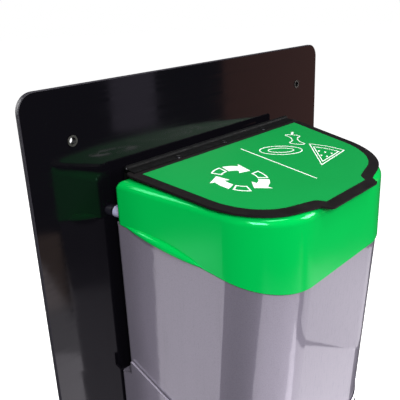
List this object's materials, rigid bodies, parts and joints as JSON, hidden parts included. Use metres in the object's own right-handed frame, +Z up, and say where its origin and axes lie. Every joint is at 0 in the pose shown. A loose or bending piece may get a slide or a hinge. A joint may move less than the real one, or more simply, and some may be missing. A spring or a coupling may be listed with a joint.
{
  "type": "wall-mounted litter bin",
  "caption": "Wall-mounted litter bin: a slim lift-out bin in a pocket on a tall back panel, with a lift-off hood and a sloping hinged lid.",
  "frame": {"origin": "centre of the back panel's wall face", "axes": "+X along the panel, +Y into the wall, so the bin stands out towards -Y, +Z up"},
  "size_m": [0.46, 0.1877, 0.74],
  "materials": {
    "panel_black": "polished",
    "zinc_steel": "bright zinc",
    "silver_grey": "high gloss, metallic grey",
    "rubber_black": "matt",
    "nylon_pale": "satin",
    "hood_green": "gloss",
    "hinge_black": "satin black",
    "lid_black": "satin",
    "label_green": "satin vinyl",
    "ring_black": "satin"
  },
  "bodies": {
    "wall_panel": {"backboard": "panel_black", "hole_eyelets": "zinc_steel", "cradle": "silver_grey", "cradle_pads": "rubber_black", "cradle_screws": "zinc_steel", "cradle_washers": "zinc_steel", "cradle_nuts": "zinc_steel"},
    "bin": {"bin_body": "silver_grey", "sack_ring": "ring_black", "body_buffers": "nylon_pale", "body_buffer_screws": "zinc_steel"},
    "hood_unit": {"hood": "hood_green", "hood_hinge_leaf": "hinge_black", "hood_leaf_rivets": "hinge_black", "hinge_pin": "zinc_steel", "hood_buffers": "nylon_pale", "hood_buffer_screws": "zinc_steel", "lid_rest_pads": "rubber_black"},
    "lid": {"lid_panel": "lid_black", "lid_label": "label_green", "lid_hinge_leaf": "hinge_black", "lid_rivets": "hinge_black"}
  },
  "joints": [
    {"name": "bin_lift", "type": "slide", "parent": "wall_panel", "child": "bin", "axis": [0, 0, 1], "range_m": [0, 0.35]},
    {"name": "hood_lift", "type": "slide", "parent": "bin", "child": "hood_unit", "axis": [0, 0, 1], "range_m": [0, 0.08]},
    {"name": "lid_hinge", "type": "hinge", "parent": "hood_unit", "child": "lid", "pos_m": [0, -0.0185, 0.287], "axis": [-1, 0, 0], "range_deg": [0, 102]}
  ]
}
